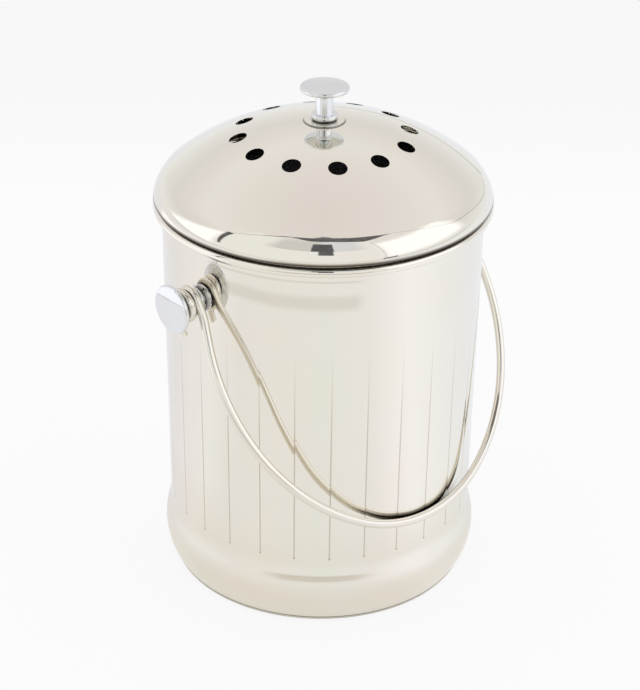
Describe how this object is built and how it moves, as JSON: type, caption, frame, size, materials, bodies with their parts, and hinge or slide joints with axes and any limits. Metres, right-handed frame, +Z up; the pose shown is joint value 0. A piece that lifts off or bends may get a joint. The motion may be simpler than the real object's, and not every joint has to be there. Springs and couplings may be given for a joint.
{
  "type": "compost pail",
  "caption": "Countertop compost pail in fluted sheet steel with a swinging wire bail, a domed vented lift-off lid, a lid knob and a charcoal filter in a clip-in holder.",
  "frame": {"origin": "centre of the pail's standing lip, on the floor plane under the middle of the pail", "axes": "+Z up along the pail's axis, X along the bail's pivot axis, -Y towards the side where the bail rests"},
  "size_m": [0.211, 0.182, 0.2802],
  "materials": {
    "steel_sheet": "satin polished",
    "steel_wire": "polished",
    "knob_chrome": "mirror polished",
    "zinc_steel": "zinc plated",
    "black_plastic": "matt",
    "charcoal_felt": "felted"
  },
  "bodies": {
    "pail": {"pail_body": "steel_sheet", "base_plate": "steel_sheet", "left_side_knob": "knob_chrome", "right_side_knob": "knob_chrome", "left_knob_screw": "zinc_steel", "right_knob_screw": "zinc_steel", "left_knob_washer": "zinc_steel", "right_knob_washer": "zinc_steel"},
    "bail": {"bail_handle": "steel_wire"},
    "lid": {"lid_dome": "steel_sheet", "lid_collar": "steel_sheet", "lid_knob": "knob_chrome", "lid_knob_screw": "zinc_steel", "lid_knob_washer": "zinc_steel"},
    "filter": {"filter_holder": "black_plastic", "charcoal_filter": "charcoal_felt"}
  },
  "joints": [
    {"name": "lid_lift", "type": "slide", "parent": "pail", "child": "lid", "axis": [0, 0, 1], "range_m": [0, 0.12]},
    {"name": "bail_swing", "type": "hinge", "parent": "pail", "child": "bail", "pos_m": [0, 0, 0.184], "axis": [-1, 0, 0], "range_deg": [0, 289]},
    {"name": "filter_release", "type": "slide", "parent": "lid", "child": "filter", "axis": [0, 0, -1], "range_m": [0, 0.02]}
  ]
}
